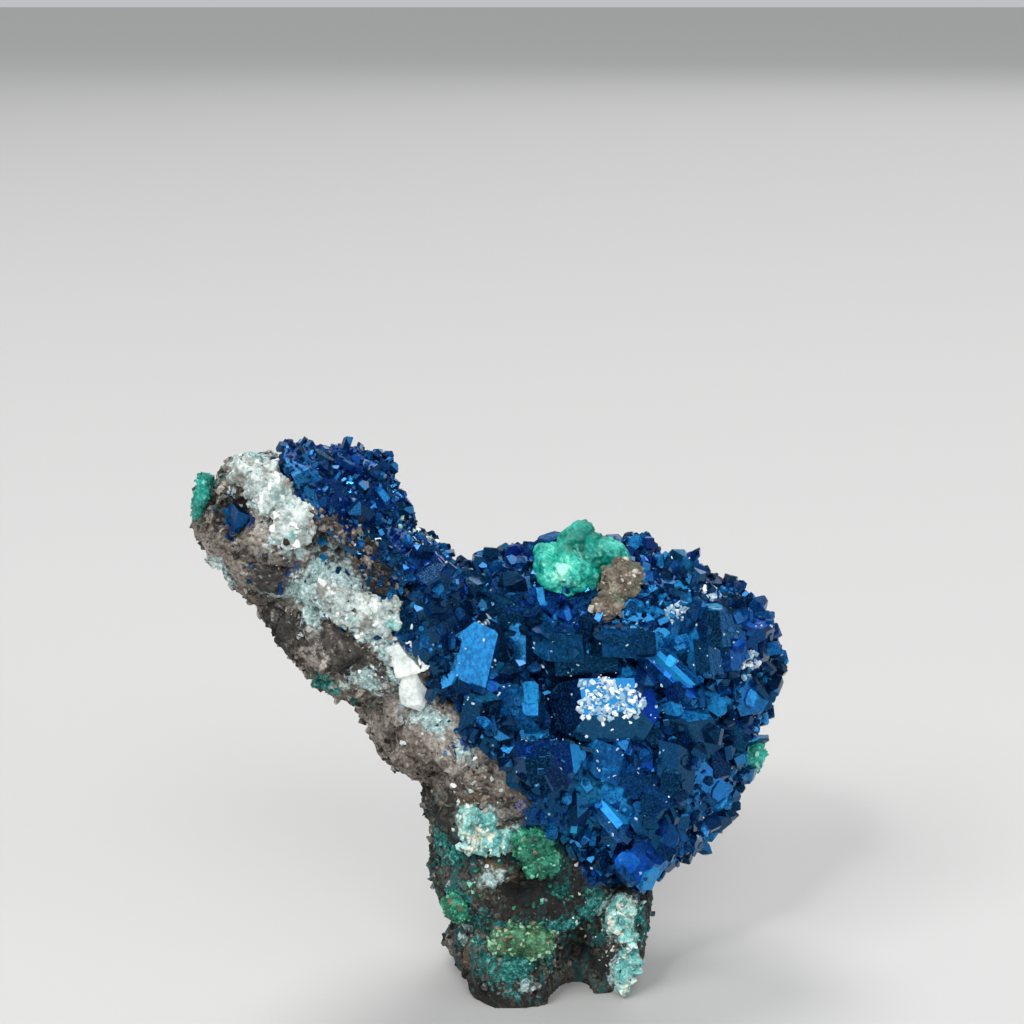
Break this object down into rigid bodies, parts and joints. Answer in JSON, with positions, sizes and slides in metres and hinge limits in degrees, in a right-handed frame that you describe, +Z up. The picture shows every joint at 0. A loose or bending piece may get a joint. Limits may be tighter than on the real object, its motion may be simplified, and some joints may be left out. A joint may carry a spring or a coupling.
{
  "type": "azurite mineral specimen",
  "caption": "Forked block of brown gossan that stands on a flat sawn foot, with a bowl of dark blue azurite crystals on one lobe and azurite, malachite and white crusts on its arm.",
  "frame": {"origin": "on the flat sawn underside of the foot, near its middle", "axes": "+Z up as the specimen stands, +X towards the azurite bowl and away from the arm, +Y towards the bare back"},
  "size_m": [0.0776, 0.0351, 0.0754],
  "materials": {
    "gossan": "rough, granular, dull",
    "azurite": "glassy crystal faces",
    "azurite_sugar": "fine sparkling crust",
    "malachite_bright": "silky, granular",
    "malachite": "granular, dull",
    "limonite": "earthy",
    "white_crust": "chalky",
    "chrysocolla": "waxy, chalky at its edges"
  },
  "bodies": {
    "root": {"matrix_rock": "gossan", "azurite_bowl_druse": "azurite", "azurite_arm_crust": "azurite_sugar", "azurite_pocket_crystals": "azurite", "malachite_crest_knob": "malachite_bright", "limonite_crest_nub": "limonite", "malachite_rim_rosette": "malachite_bright", "malachite_front_tuft": "malachite", "malachite_foot_tuft": "malachite", "malachite_left_tuft": "malachite", "malachite_tip_skin": "malachite_bright", "white_crust_upper": "white_crust", "white_crust_lower": "white_crust", "white_plate": "white_crust", "pale_blue_crust": "chrysocolla", "chrysocolla_right_foot": "chrysocolla"}
  },
  "joints": []
}
